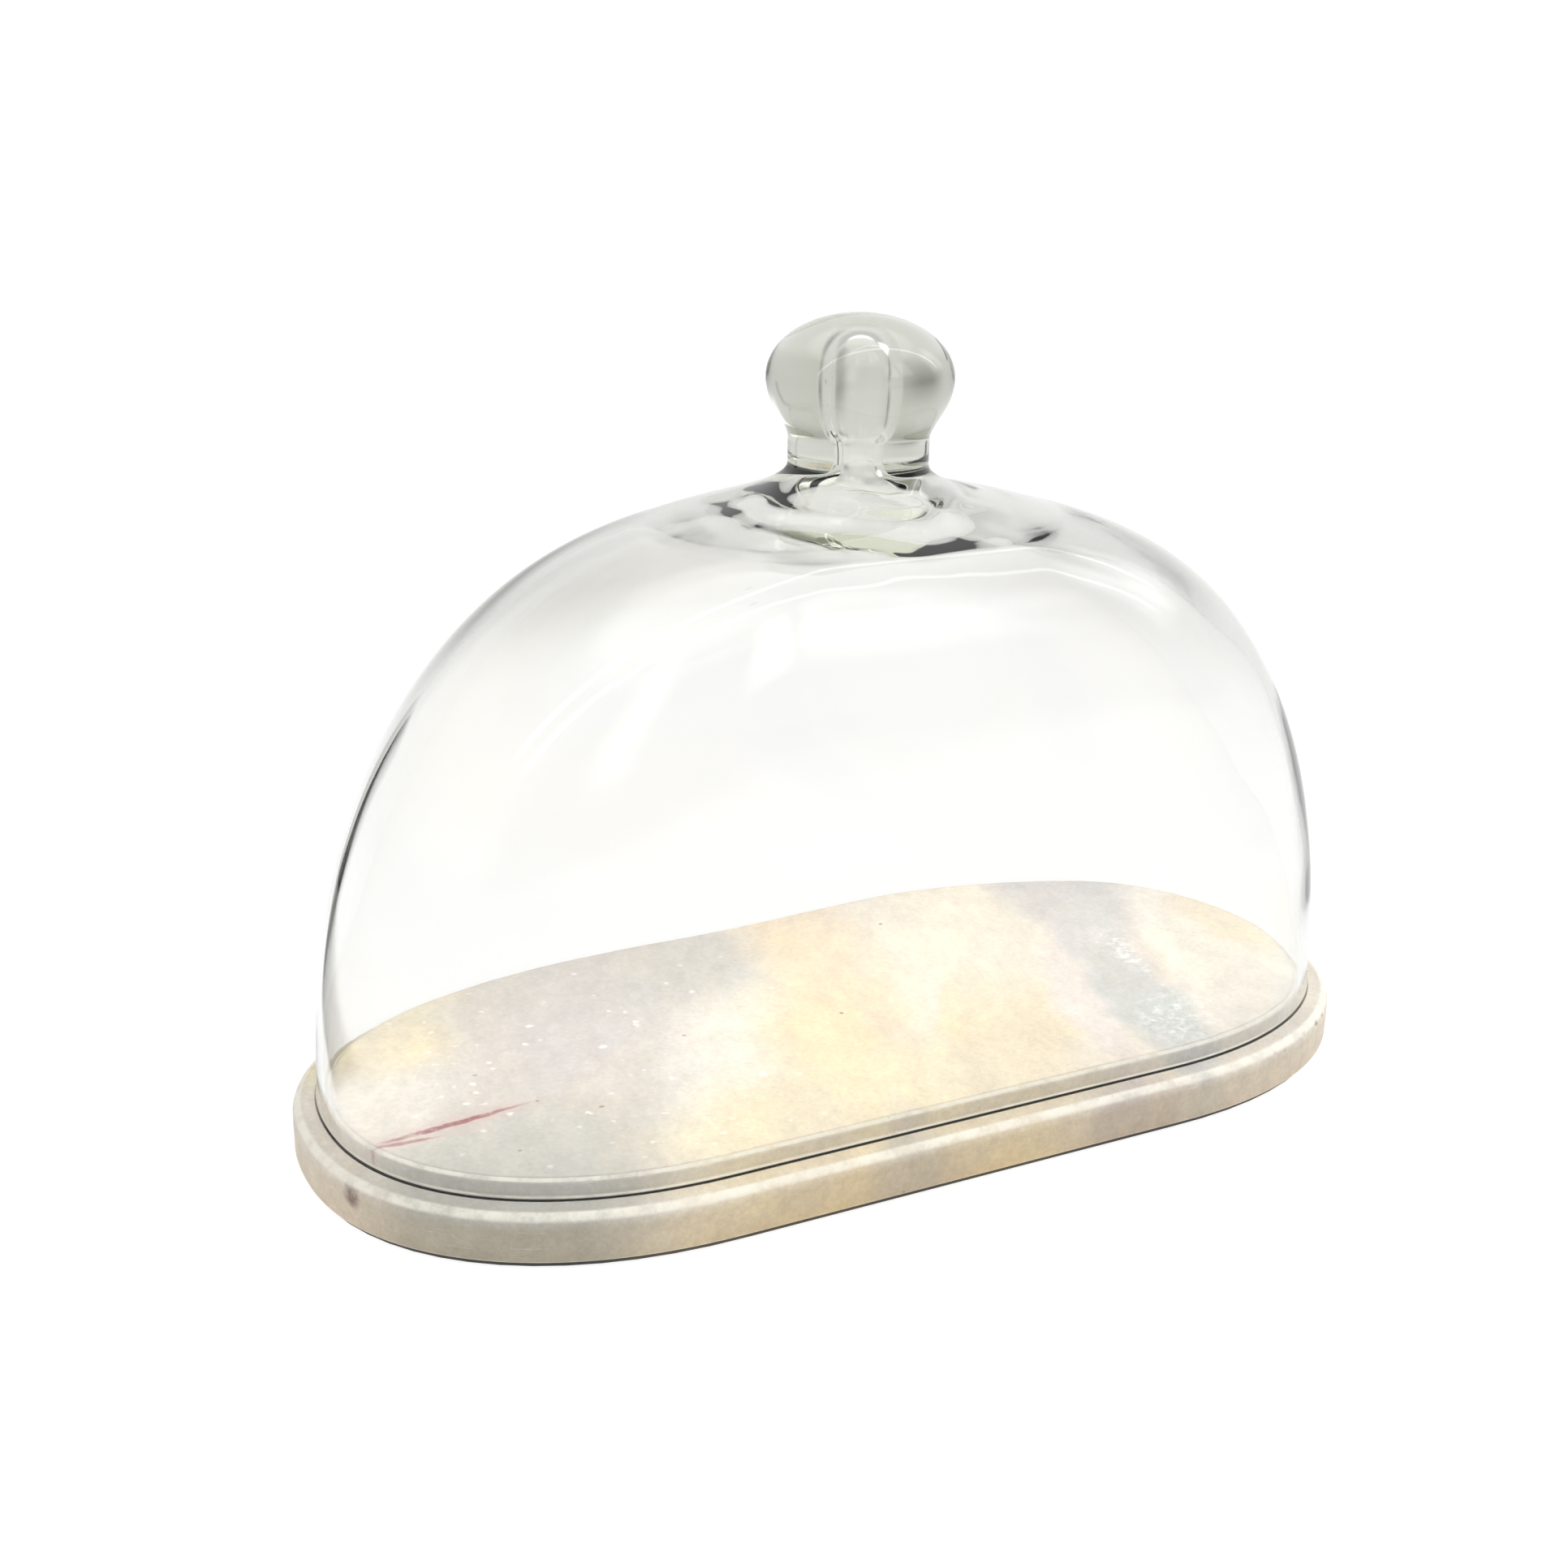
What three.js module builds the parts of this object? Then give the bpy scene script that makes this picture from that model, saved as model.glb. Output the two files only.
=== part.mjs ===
// Cheese dome: a blown clear glass cover with a hollow knob drawn out of its crown, standing
// on the ledge of an oval marble base. Units are millimetres.
// Frame: +Z up, X along the base's length, and the origin under the middle of the base, on
// the surface that the four bumper feet stand on.
import * as THREE from 'three';

// ---------------------------------------------------------------- driving dimensions

// Marble base: one slab with a lower ledge all round and a raised plateau inside it.
const baseLength = 305;
const baseWidth = 142;
const baseCapDepth = 89;         // how far each rounded end reaches back from its tip
const endExponent = 2.2;         // 2 makes the ends elliptic, more makes them squarer
const slabThickness = 12.7;      // underside to ledge
const plateauRise = 4.8;         // ledge to serving face
const slabEdgeRadius = 3.2;      // upper outer edge
const undersideEdgeRadius = 0.8; // lower outer edge
const plateauEdgeRadius = 1.4;
const ledgeCornerRadius = 0.7;   // fillet between the ledge and the plateau's wall

// Glass dome: it stands on the ledge, just outside the plateau. Heights are from its rim.
const ledgeMargin = 5.6;         // slab's edge to the dome's outer face
const glassWall = 2.4;
const rimGap = 0.3;              // keeps the rim just clear of the ledge
const plateauGap = 1.0;          // dome's inner face to the plateau's wall
const crownHeight = 147;
const crownWall = 5.5;           // the glass thickens from the shoulders to the crown
const lengthwiseBow = { rise: 2.15, spread: 2.9 };
const crosswiseBow = { rise: 2.5, spread: 4.4 };
const lipFlare = 0.8;            // how far the rim is splayed outwards
const lipHeight = 5;
const rimChamfer = 0.5;
const shoulderTurn = 0.84;       // share of the bow below the neck's foot

// Knob, and the neck that it stands on.
const knobRadius = 23.8;
const knobHeight = 178;          // to its widest place
const knobCapHeight = 15.7;      // widest place to the top
const knobUnderHeight = 18.5;    // widest place to the bottom of the ball, inside the neck
const knobBlend = 4;             // rounds the corner between ball and neck
const neckRadius = 18;
const neckHeight = 156.5;        // to where the neck starts to run out over the crown

// Air channel: drawn up through the neck into a small bulb inside the knob.
const bulbRadius = 7.2;
const bulbHeight = 178;
const bulbCapHeight = 5.5;
const channelRadius = 4.4;
const channelHeight = 157;       // to where the channel opens out under the crown

// Bumper feet: low clear domes stuck under the slab.
const footRadius = 5;
const footTopGap = 0.3;
const footHeight = 1.2;
const footFlatRadius = 3.4;
const footSpacing = { x: 196, y: 92 };

// Facets round each body, and steps along each rounded edge and each run of the dome.
const facetsRound = 48;
const footFacets = 20;
const edgeSteps = { plateau: 3, ledgeCorner: 2, slab: 4, underside: 2, foot: 4 };
const outsideSteps = { shell: 12, foot: 7, ball: 6 };
const insideSteps = { shell: 11, foot: 6, ball: 4 };

// ---------------------------------------------------------------- materials

const marble = new THREE.MeshStandardMaterial({
  name: 'marble', color: new THREE.Color(0.87, 0.84, 0.79), roughness: 0.42, metalness: 0,
});
const clearGlass = new THREE.MeshStandardMaterial({
  name: 'clear_glass', color: new THREE.Color(0.86, 0.91, 0.88), roughness: 0.05, metalness: 0,
  transparent: true, opacity: 0.35,
});
const bumper = new THREE.MeshStandardMaterial({
  name: 'bumper', color: new THREE.Color(0.8, 0.8, 0.78), roughness: 0.5, metalness: 0,
});

// ---------------------------------------------------------------- shared geometry

// Values from 0 to 1 in equal steps, both ends included.
function evenSteps(count) {
  return Array.from({ length: count + 1 }, (_, i) => i / count);
}

function mix(from, to, share) {
  return from + (to - from) * share;
}

// The larger of two values, with the corner between them rounded over.
function softMax(a, b, blend) {
  const overlap = Math.max(0, blend - Math.abs(a - b));
  return Math.max(a, b) + overlap * overlap / (4 * blend);
}

// A point on a long oval: straight sides between two superelliptic ends. Turn 0 is at +X and
// a quarter turn at +Y, and equal turns give nearly equal steps along the oval.
function ovalPoint(turn, oval) {
  const straight = oval.halfLength - oval.capDepth;
  const capArc = (oval.capDepth + oval.halfWidth) * Math.PI / 4;
  const straightShare = straight / (straight + capArc);
  const sideShare = 1 - Math.asin(Math.min(1, Math.abs(Math.sin(turn)))) / (Math.PI / 2);
  let x = straight;
  let y = oval.halfWidth;
  if (sideShare < straightShare) {
    x *= sideShare / straightShare;
  } else {
    const capTurn = (1 - sideShare) / (1 - straightShare) * Math.PI / 2;
    x += oval.capDepth * Math.pow(Math.max(0, Math.cos(capTurn)), 2 / oval.exponent);
    y *= Math.pow(Math.sin(capTurn), 2 / oval.exponent);
  }
  return new THREE.Vector2(Math.sign(Math.cos(turn)) * x, Math.sign(Math.sin(turn)) * y);
}

// The base's outline, moved inwards by the same distance all round.
function insetOval(inset) {
  return {
    halfLength: baseLength / 2 - inset,
    halfWidth: baseWidth / 2 - inset,
    capDepth: baseCapDepth - inset,
    exponent: endExponent,
  };
}

function circle(radius) {
  return { halfLength: radius, halfWidth: radius, capDepth: radius, exponent: 2 };
}

// A closed body through a stack of ovals. The first oval closes at a point on the axis at
// startHeight, and the last at endHeight.
function loftOvals(ovals, startHeight, endHeight) {
  const positions = [0, 0, startHeight];
  for (const oval of ovals) {
    for (let i = 0; i < facetsRound; i += 1) {
      const point = ovalPoint(i / facetsRound * Math.PI * 2, oval);
      positions.push(point.x, point.y, oval.z);
    }
  }
  positions.push(0, 0, endHeight);

  const startPole = 0;
  const endPole = positions.length / 3 - 1;
  const lastRing = 1 + (ovals.length - 1) * facetsRound;
  const index = [];
  for (let i = 0; i < facetsRound; i += 1) {
    const next = (i + 1) % facetsRound;
    index.push(startPole, 1 + i, 1 + next);
    for (let ring = 1; ring < lastRing; ring += facetsRound) {
      const after = ring + facetsRound;
      index.push(ring + i, after + i, after + next);
      index.push(ring + i, after + next, ring + next);
    }
    index.push(endPole, lastRing + next, lastRing + i);
  }

  const geometry = new THREE.BufferGeometry();
  geometry.setAttribute('position', new THREE.Float32BufferAttribute(positions, 3));
  geometry.setIndex(index);
  geometry.computeVertexNormals();
  return geometry;
}

// ---------------------------------------------------------------- marble base

const undersideLevel = footHeight + footTopGap;
const ledgeLevel = undersideLevel + slabThickness;
const plateauLevel = ledgeLevel + plateauRise;

function marbleBase() {
  const wallInset = ledgeMargin + glassWall + plateauGap;
  const ovals = [];
  const addArc = (steps, inset, z) => {
    for (const share of evenSteps(steps)) {
      const turn = share * Math.PI / 2;
      ovals.push({ ...insetOval(inset(turn)), z: z(turn) });
    }
  };
  // From the serving face outwards and down to the underside.
  addArc(
    edgeSteps.plateau,
    (turn) => wallInset + plateauEdgeRadius * (1 - Math.sin(turn)),
    (turn) => plateauLevel - plateauEdgeRadius * (1 - Math.cos(turn)),
  );
  addArc(
    edgeSteps.ledgeCorner,
    (turn) => wallInset - ledgeCornerRadius * (1 - Math.cos(turn)),
    (turn) => ledgeLevel + ledgeCornerRadius * (1 - Math.sin(turn)),
  );
  addArc(
    edgeSteps.slab,
    (turn) => slabEdgeRadius * (1 - Math.sin(turn)),
    (turn) => ledgeLevel - slabEdgeRadius * (1 - Math.cos(turn)),
  );
  addArc(
    edgeSteps.underside,
    (turn) => undersideEdgeRadius * (1 - Math.cos(turn)),
    (turn) => undersideLevel + undersideEdgeRadius * (1 - Math.sin(turn)),
  );
  return new THREE.Mesh(loftOvals(ovals, plateauLevel, undersideLevel), marble);
}

// ---------------------------------------------------------------- glass dome

// A shell's half size at a height: its size at the rim, bowed in to nothing at its crown.
function bowed(rimSize, height, crown, bow) {
  return rimSize * Math.pow(1 - Math.pow(height / crown, bow.rise), 1 / bow.spread);
}

// One face of the shell from the lip up to its shoulder, as ovals. The outer face has no
// inset and the inner face is inset by the wall.
function shellOvals(inset, crown, steps) {
  const foot = insetOval(ledgeMargin + lipFlare + inset);
  const bowSteps = evenSteps(steps).slice(1).map((share) => (
    crown * Math.pow(Math.sin(share * shoulderTurn * Math.PI / 2), 2 / lengthwiseBow.rise)
  ));
  const lipHeights = [rimChamfer, lipHeight / 3, lipHeight];
  const heights = [...lipHeights, ...bowSteps.filter((z) => z > lipHeight)];
  return heights.map((z) => {
    const splay = lipFlare * Math.pow(Math.max(0, 1 - z / lipHeight), 2);
    const halfLength = bowed(foot.halfLength, z, crown, lengthwiseBow) + splay;
    const halfWidth = bowed(foot.halfWidth, z, crown, crosswiseBow) + splay;
    const capDepth = halfLength * foot.capDepth / foot.halfLength;
    return { halfLength, halfWidth, capDepth, exponent: endExponent, z };
  });
}

// The run from the shoulder up to a round stem, with the hollow curve of a drawn neck: the
// oval closes in on the circle while it climbs over the crown.
function neckFootOvals(shoulder, rimHalfLength, crown, stem, steps) {
  return evenSteps(steps).slice(1).map((share) => {
    const turn = share * Math.PI / 2;
    const spread = 1 - Math.sin(turn);
    const crownShare = spread * shoulder.halfLength / rimHalfLength;
    const crownDrop = Math.pow(crownShare, lengthwiseBow.spread);
    const crownLevel = crown * Math.pow(1 - crownDrop, 1 / lengthwiseBow.rise);
    return {
      halfLength: mix(stem.radius, shoulder.halfLength, spread),
      halfWidth: mix(stem.radius, shoulder.halfWidth, spread),
      capDepth: mix(stem.radius, shoulder.capDepth, spread),
      exponent: mix(2, endExponent, spread),
      z: crownLevel + (stem.height - crown) * (1 - Math.cos(turn)),
    };
  });
}

// A ball on a stem, from the top of the stem to just short of the ball's own top.
function ballOvals(ball, stem, steps) {
  const below = evenSteps(steps).slice(1).map((share) => {
    const z = mix(stem.height, ball.height, share);
    const drop = Math.min(1, (ball.height - z) / ball.under);
    const ballRadius = ball.radius * Math.sqrt(1 - drop * drop);
    return { ...circle(softMax(stem.radius, ballRadius, knobBlend)), z };
  });
  const above = evenSteps(steps).slice(1, -1).map((share) => {
    const turn = share * Math.PI / 2;
    return { ...circle(ball.radius * Math.cos(turn)), z: ball.height + ball.cap * Math.sin(turn) };
  });
  return [...below, ...above];
}

// A whole face of the dome, from the lip to the top of the knob or of the bulb.
function domeFace(inset, crown, stem, ball, steps) {
  const shell = shellOvals(inset, crown, steps.shell);
  const rimHalfLength = insetOval(ledgeMargin + lipFlare + inset).halfLength;
  const foot = neckFootOvals(shell.at(-1), rimHalfLength, crown, stem, steps.foot);
  return [...shell, ...foot, ...ballOvals(ball, stem, steps.ball)];
}

function glassDome() {
  const outside = domeFace(
    0,
    crownHeight,
    { radius: neckRadius, height: neckHeight },
    { radius: knobRadius, height: knobHeight, under: knobUnderHeight, cap: knobCapHeight },
    outsideSteps,
  );
  const inside = domeFace(
    glassWall,
    crownHeight - crownWall,
    { radius: channelRadius, height: channelHeight },
    { radius: bulbRadius, height: bulbHeight, under: bulbCapHeight, cap: bulbCapHeight },
    insideSteps,
  );
  // The rim is ground flat, with a chamfer on both edges.
  const groundRim = [
    { ...insetOval(ledgeMargin + rimChamfer), z: 0 },
    { ...insetOval(ledgeMargin + glassWall - rimChamfer), z: 0 },
  ];
  const ovals = [...outside.reverse(), ...groundRim, ...inside];
  const dome = new THREE.Mesh(
    loftOvals(ovals, knobHeight + knobCapHeight, bulbHeight + bulbCapHeight),
    clearGlass,
  );
  dome.position.z = ledgeLevel + rimGap;
  return dome;
}

// ---------------------------------------------------------------- bumper feet

function bumperFoot() {
  const profile = [new THREE.Vector2(0, 0)];
  for (const share of evenSteps(edgeSteps.foot)) {
    const turn = share * Math.PI / 2;
    profile.push(new THREE.Vector2(
      mix(footFlatRadius, footRadius, Math.sin(turn)),
      footHeight * (1 - Math.cos(turn)),
    ));
  }
  profile.push(new THREE.Vector2(0, footHeight));
  const geometry = new THREE.LatheGeometry(profile, footFacets);
  geometry.rotateX(Math.PI / 2);
  return new THREE.Mesh(geometry, bumper);
}

// ---------------------------------------------------------------- assembly

const cheeseDome = new THREE.Group();

const base = marbleBase();
base.name = 'marble_base';
cheeseDome.add(base);

for (const [endName, endSide] of [['left', -1], ['right', 1]]) {
  for (const [sideName, side] of [['front', -1], ['back', 1]]) {
    const foot = bumperFoot();
    foot.name = `foot_${sideName}_${endName}`;
    foot.position.set(endSide * footSpacing.x / 2, side * footSpacing.y / 2, 0);
    cheeseDome.add(foot);
  }
}

const dome = glassDome();
dome.name = 'glass_dome';
cheeseDome.add(dome);

export default cheeseDome;
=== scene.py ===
import math

import bpy
import numpy as np
from mathutils import Matrix, Vector, noise


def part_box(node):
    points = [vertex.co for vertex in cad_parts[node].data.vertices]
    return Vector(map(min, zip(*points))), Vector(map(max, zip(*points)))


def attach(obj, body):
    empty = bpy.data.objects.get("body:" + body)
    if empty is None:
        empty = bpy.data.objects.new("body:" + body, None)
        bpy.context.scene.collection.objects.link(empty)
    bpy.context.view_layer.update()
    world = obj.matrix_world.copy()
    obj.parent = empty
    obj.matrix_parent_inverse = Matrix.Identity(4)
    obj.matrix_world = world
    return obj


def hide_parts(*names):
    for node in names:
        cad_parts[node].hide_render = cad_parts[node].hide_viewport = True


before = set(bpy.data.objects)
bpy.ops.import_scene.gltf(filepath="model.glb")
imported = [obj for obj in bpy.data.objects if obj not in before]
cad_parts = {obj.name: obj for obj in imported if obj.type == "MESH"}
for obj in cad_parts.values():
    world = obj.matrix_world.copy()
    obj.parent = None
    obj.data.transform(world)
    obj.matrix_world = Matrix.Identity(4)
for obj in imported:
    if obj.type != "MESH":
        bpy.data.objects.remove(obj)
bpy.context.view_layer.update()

MM = 0.001


# ---------------------------------------------------------------- sizes

# Everything that the frame knows is read from it. What it can't say is named here, in metres.
base_low, base_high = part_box("marble_base")
dome_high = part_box("glass_dome")[1]

BASE_HALF_LENGTH = base_high.x
BASE_HALF_WIDTH = base_high.y
BASE_CAP_DEPTH = 89 * MM
END_EXPONENT = 2.2
UNDERSIDE = base_low.z
PLATEAU = base_high.z
PLATEAU_RISE = 4.8 * MM
LEDGE = PLATEAU - PLATEAU_RISE
SLAB_EDGE_RADIUS = 3.2 * MM
UNDERSIDE_EDGE_RADIUS = 0.8 * MM
PLATEAU_EDGE_RADIUS = 1.4 * MM
LEDGE_CORNER_RADIUS = 0.7 * MM

# The CAD's dome is widest at the top of its rim's chamfer, which is set back from the margin.
CHAMFER_SETBACK = 0.15 * MM
LEDGE_MARGIN = BASE_HALF_LENGTH - dome_high.x - CHAMFER_SETBACK
GLASS_WALL = 2.4 * MM
PLATEAU_GAP = 1.0 * MM
RIM_CLEARANCE = 0.05 * MM
LIP_FLARE = 0.8 * MM
LIP_HEIGHT = 5 * MM
RIM_EDGE_RADIUS = 0.8 * MM
CROWN_HEIGHT = 147 * MM
CROWN_WALL = 5.5 * MM
LENGTHWISE_BOW = (2.15, 2.9)
CROSSWISE_BOW = (2.5, 4.4)
SHOULDER_TURN = 0.84

KNOB_CAP_HEIGHT = 15.7 * MM
KNOB_HEIGHT = 178 * MM
KNOB_RADIUS = 23.8 * MM
KNOB_UNDER_HEIGHT = 18.5 * MM
KNOB_BLEND = 4 * MM
NECK_RADIUS = 18 * MM
NECK_HEIGHT = 156.5 * MM
BULB_RADIUS = 7.2 * MM
BULB_HEIGHT = 178 * MM
BULB_CAP_HEIGHT = 5.5 * MM
BULB_UNDER_HEIGHT = 14 * MM
CHANNEL_RADIUS = 4.4 * MM
CHANNEL_HEIGHT = 157 * MM


# ---------------------------------------------------------------- mesh helpers

def even_steps(count):
    """Values from 0 to 1 in equal steps, both ends included."""
    return [i / count for i in range(count + 1)]


def mix(start, end, share):
    return start + (end - start) * share


def soft_max(a, b, blend):
    """The larger of two values, with the corner between them rounded over."""
    overlap = max(0.0, blend - abs(a - b))
    return max(a, b) + overlap * overlap / (4 * blend)


def oval(half_length, half_width, cap_depth, exponent, z):
    return {"length": half_length, "width": half_width, "cap": cap_depth, "exponent": exponent, "z": z}


def inset_oval(inset, z):
    """The base's outline moved inwards by the same distance all round."""
    return oval(BASE_HALF_LENGTH - inset, BASE_HALF_WIDTH - inset, BASE_CAP_DEPTH - inset, END_EXPONENT, z)


def circle(radius, z):
    return oval(radius, radius, radius, 2, z)


def oval_points(ring, count):
    """Points of a long oval: straight sides between two superelliptic ends."""
    turn = np.arange(count) / count * 2 * math.pi
    straight = ring["length"] - ring["cap"]
    cap_arc = (ring["cap"] + ring["width"]) * math.pi / 4
    straight_share = straight / (straight + cap_arc)
    side_share = 1 - np.arcsin(np.minimum(1, np.abs(np.sin(turn)))) / (math.pi / 2)
    cap_turn = np.clip((1 - side_share) / (1 - straight_share), 0, 1) * math.pi / 2
    on_side = side_share < straight_share
    power = 2 / ring["exponent"]
    along_side = straight * side_share / max(straight_share, 1e-9)
    round_end = straight + ring["cap"] * np.maximum(0, np.cos(cap_turn)) ** power
    x = np.where(on_side, along_side, round_end) * np.sign(np.cos(turn))
    y = np.where(on_side, 1.0, np.sin(cap_turn) ** power) * ring["width"] * np.sign(np.sin(turn))
    return np.column_stack([x, y, np.full(count, ring["z"])])


def loft(name, ovals, start_z, end_z, count):
    """One closed smooth mesh through a stack of ovals, closed at a point on the axis at each end."""
    rings = [oval_points(ring, count) for ring in ovals]
    points = np.vstack([[[0, 0, start_z]], *rings, [[0, 0, end_z]]])
    last = 1 + (len(rings) - 1) * count
    end_pole = len(points) - 1
    here = np.arange(count)
    after = (here + 1) % count
    faces = [(0, 1 + a, 1 + b) for a, b in zip(here, after)]
    for ring in range(1, last, count):
        below = ring + count
        faces += [(ring + a, below + a, below + b, ring + b) for a, b in zip(here, after)]
    faces += [(end_pole, last + b, last + a) for a, b in zip(here, after)]
    mesh = bpy.data.meshes.new(name)
    mesh.from_pydata(points.tolist(), [], faces)
    mesh.update()
    for face in mesh.polygons:
        face.use_smooth = True
    piece = bpy.data.objects.new(name, mesh)
    bpy.context.scene.collection.objects.link(piece)
    return piece


# ---------------------------------------------------------------- marble base

BASE_FACETS = 256
MIDDLE_INSET = 60 * MM
# Flats start this far from an edge's arc, so that they are shaded flat.
FLAT_HOLD = 0.15 * MM
LEDGE_HOLD = 0.1 * MM


def make_base():
    wall_inset = LEDGE_MARGIN + GLASS_WALL + PLATEAU_GAP
    ovals = []

    def add_flat(inset_from, inset_to, z, steps):
        for share in even_steps(steps):
            ovals.append(inset_oval(mix(inset_from, inset_to, share), z))

    def add_arc(steps, inset, z):
        for share in even_steps(steps):
            turn = share * math.pi / 2
            ovals.append(inset_oval(inset(turn), z(turn)))

    top_inset = wall_inset + PLATEAU_EDGE_RADIUS
    add_flat(MIDDLE_INSET, top_inset + FLAT_HOLD, PLATEAU, 8)
    add_arc(
        7,
        lambda turn: wall_inset + PLATEAU_EDGE_RADIUS * (1 - math.sin(turn)),
        lambda turn: PLATEAU - PLATEAU_EDGE_RADIUS * (1 - math.cos(turn)),
    )
    add_arc(
        5,
        lambda turn: wall_inset - LEDGE_CORNER_RADIUS * (1 - math.cos(turn)),
        lambda turn: LEDGE + LEDGE_CORNER_RADIUS * (1 - math.sin(turn)),
    )
    add_flat(wall_inset - LEDGE_CORNER_RADIUS - LEDGE_HOLD, SLAB_EDGE_RADIUS + FLAT_HOLD, LEDGE, 3)
    add_arc(
        9,
        lambda turn: SLAB_EDGE_RADIUS * (1 - math.sin(turn)),
        lambda turn: LEDGE - SLAB_EDGE_RADIUS * (1 - math.cos(turn)),
    )
    side_low = UNDERSIDE + UNDERSIDE_EDGE_RADIUS + FLAT_HOLD
    side_high = LEDGE - SLAB_EDGE_RADIUS - FLAT_HOLD
    for share in even_steps(4):
        ovals.append(inset_oval(0, mix(side_high, side_low, share)))
    add_arc(
        4,
        lambda turn: UNDERSIDE_EDGE_RADIUS * (1 - math.cos(turn)),
        lambda turn: UNDERSIDE + UNDERSIDE_EDGE_RADIUS * (1 - math.sin(turn)),
    )
    add_flat(UNDERSIDE_EDGE_RADIUS + FLAT_HOLD, MIDDLE_INSET, UNDERSIDE, 4)
    return loft("marble_slab", ovals, PLATEAU, UNDERSIDE, BASE_FACETS)


# ---------------------------------------------------------------- glass dome

DOME_FACETS = 208
LIP_STEPS = 5
RIM_STEPS = 5
SHELL_STEPS = 56
OUTER_NECK_STEPS, INNER_NECK_STEPS = 44, 60
KNOB_STEPS, BULB_STEPS = 26, 18


def bowed(rim_size, height, crown, bow):
    """A shell's half size at a height: its size at the rim, bowed in to nothing at its crown."""
    rise, spread = bow
    return rim_size * (1 - (height / crown) ** rise) ** (1 / spread)


def shell_ovals(inset, crown):
    """One face of the shell from the lip up to its shoulder, as a stack of ovals."""
    foot = inset_oval(LEDGE_MARGIN + LIP_FLARE + inset, 0)
    heights = [mix(RIM_EDGE_RADIUS, LIP_HEIGHT, share) for share in even_steps(LIP_STEPS)]
    for share in even_steps(SHELL_STEPS)[1:]:
        z = crown * math.sin(share * SHOULDER_TURN * math.pi / 2) ** (2 / LENGTHWISE_BOW[0])
        if z > LIP_HEIGHT * 1.2:
            heights.append(z)
    ovals = []
    for z in heights:
        splay = LIP_FLARE * max(0, 1 - z / LIP_HEIGHT) ** 2
        length = bowed(foot["length"], z, crown, LENGTHWISE_BOW) + splay
        width = bowed(foot["width"], z, crown, CROSSWISE_BOW) + splay
        ovals.append(oval(length, width, length * foot["cap"] / foot["length"], END_EXPONENT, z))
    return ovals


def neck_foot_ovals(shoulder, rim_length, crown, stem_radius, stem_height, steps):
    """The hollow run from the shoulder up to a round stem, from oval to circle."""
    ovals = []
    for share in even_steps(steps)[1:]:
        turn = share * math.pi / 2
        spread = 1 - math.sin(turn)
        crown_drop = (spread * shoulder["length"] / rim_length) ** LENGTHWISE_BOW[1]
        crown_z = crown * (1 - crown_drop) ** (1 / LENGTHWISE_BOW[0])
        ovals.append(oval(
            mix(stem_radius, shoulder["length"], spread),
            mix(stem_radius, shoulder["width"], spread),
            mix(stem_radius, shoulder["cap"], spread),
            mix(2, END_EXPONENT, spread),
            crown_z + (stem_height - crown) * (1 - math.cos(turn)),
        ))
    return ovals


def ball_ovals(radius, height, under, cap, stem_radius, stem_height, steps):
    """A ball that swells out of a round stem, up to just under its top."""
    ovals = []
    for share in even_steps(steps)[1:]:
        z = mix(stem_height, height, share)
        drop = min(1, (height - z) / under)
        ovals.append(circle(soft_max(stem_radius, radius * math.sqrt(1 - drop * drop), KNOB_BLEND), z))
    for share in even_steps(steps)[1:-1]:
        turn = share * math.pi / 2
        ovals.append(circle(radius * math.cos(turn), height + cap * math.sin(turn)))
    return ovals


# How far the hand-blown faces wander from the true curve, over what distance, and the heights
# below and above which they keep to it.
OUTER_WANDER = 0.16 * MM
INNER_WANDER = 0.32 * MM
WANDER_SIZE = 42 * MM
WANDER_START = Vector((3, 7, 1))
CALM_BELOW = 8 * MM
CALM_FROM = NECK_HEIGHT + 8 * MM
# The ripples and dimples inside the crown, round the foot of the neck.
RIPPLE_DEPTH = 0.22 * MM
RIPPLE_WIDTH = 14 * MM
RIPPLE_REACH = 50 * MM
RIPPLE_LOW = CROWN_HEIGHT - 26 * MM
RIPPLE_HIGH = CROWN_HEIGHT - 10 * MM
SWIRL_SIZE = 22 * MM
SWIRL_TURN = 2.2
DIMPLE_SIZE = 13 * MM
DIMPLE_SHARE = 1.5


def ease(value, low, high):
    share = min(1.0, max(0.0, (value - low) / (high - low)))
    return share * share * (3 - 2 * share)


def make_uneven(mesh, first_inner):
    """Moves the faces of the dome in and out as blown glass does, least at the rim and in the knob."""
    normals = [vertex.normal.copy() for vertex in mesh.vertices]
    for index, vertex in enumerate(mesh.vertices):
        inner = index >= first_inner
        place = vertex.co.copy()
        free = ease(place.z, CALM_BELOW, 4 * CALM_BELOW) * (1 - ease(place.z, NECK_HEIGHT, CALM_FROM))
        wander = noise.noise(place / WANDER_SIZE + WANDER_START)
        wander *= INNER_WANDER if inner else OUTER_WANDER
        if inner:
            reach = math.hypot(place.x, place.y)
            near_neck = 1 - ease(reach, 0.4 * RIPPLE_REACH, RIPPLE_REACH)
            depth = RIPPLE_DEPTH * near_neck * ease(place.z, RIPPLE_LOW, RIPPLE_HIGH)
            swirl = SWIRL_TURN * noise.noise(place / SWIRL_SIZE)
            wander += depth * math.sin(reach / RIPPLE_WIDTH * 2 * math.pi + swirl)
            wander += depth * DIMPLE_SHARE * noise.noise(place / DIMPLE_SIZE)
        vertex.co = place + normals[index] * wander * free


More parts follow.
